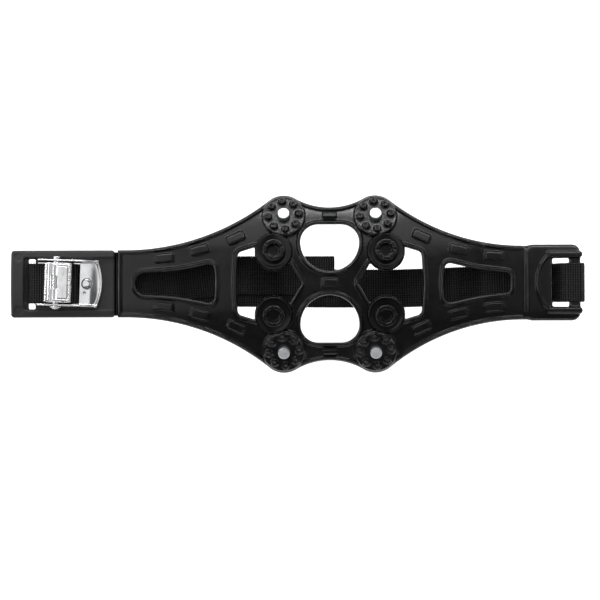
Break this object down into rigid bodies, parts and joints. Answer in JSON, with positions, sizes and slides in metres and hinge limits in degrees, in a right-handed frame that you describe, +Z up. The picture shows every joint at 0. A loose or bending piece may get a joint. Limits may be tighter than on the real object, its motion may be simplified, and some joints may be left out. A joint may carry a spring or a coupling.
{
  "type": "shoe ice cleats",
  "caption": "Arched rubber sole plate with steel pins and crown studs, openings for grip, and a webbing strap with a metal cam buckle on a hinged end panel.",
  "frame": {"origin": "centre of the bounding box's base, on the surface the cleat lies on with its studs up", "axes": "+X along the length away from the buckle, +Y across, +Z up towards the studs"},
  "size_m": [0.2896, 0.0904, 0.0238],
  "materials": {
    "sole_rubber": "semi-gloss moulded",
    "panel_rubber": "satin moulded",
    "pin_steel": "turned, slightly dull",
    "washer_black": "smooth semi-gloss",
    "crown_black": "smooth gloss",
    "buckle_plating": "bright nickel plating with fine wear",
    "pin_plating": "zinc plated",
    "spring_steel": "drawn wire",
    "webbing": "woven polypropylene",
    "thread": "twisted thread"
  },
  "bodies": {
    "sole": {"sole_plate": "sole_rubber", "hinge_web": "sole_rubber", "steel_stud_1": "pin_steel", "steel_stud_2": "pin_steel", "steel_stud_3": "pin_steel", "steel_stud_4": "pin_steel", "crown_washer_1": "washer_black", "crown_washer_2": "washer_black", "crown_washer_3": "washer_black", "crown_washer_4": "washer_black", "crown_stud_1": "crown_black", "crown_stud_2": "crown_black", "crown_stud_3": "crown_black", "crown_stud_4": "crown_black", "strap_loop": "webbing", "strap_main": "webbing", "strap_bend_lower": "webbing", "strap_bend_upper": "webbing", "strap_tail": "webbing", "stitching": "thread"},
    "panel": {"buckle_panel": "panel_rubber", "buckle_base": "buckle_plating", "cam_pin": "pin_plating", "pin_clip": "pin_plating", "cam_spring": "spring_steel", "base_rivet": "buckle_plating", "rivet_washer": "pin_plating", "strap_feed": "webbing"},
    "lever": {"cam_lever": "buckle_plating"}
  },
  "joints": [
    {"name": "panel_fold", "type": "hinge", "parent": "sole", "child": "panel", "pos_m": [-0.0919, 0, 0.0114], "axis": [0, -1, 0], "range_deg": [-18, 75], "stiffness_Nm_per_rad": 0.25, "deforming": ["hinge_web", "strap_bend_lower", "strap_bend_upper"]},
    {"name": "lever_press", "type": "hinge", "parent": "panel", "child": "lever", "pos_m": [-0.12149, 0.00047, 0.0196], "axis": [-0.0314, -0.9995, 0], "range_deg": [0, 32], "stiffness_Nm_per_rad": 0.05, "springref_deg": -17.19}
  ]
}
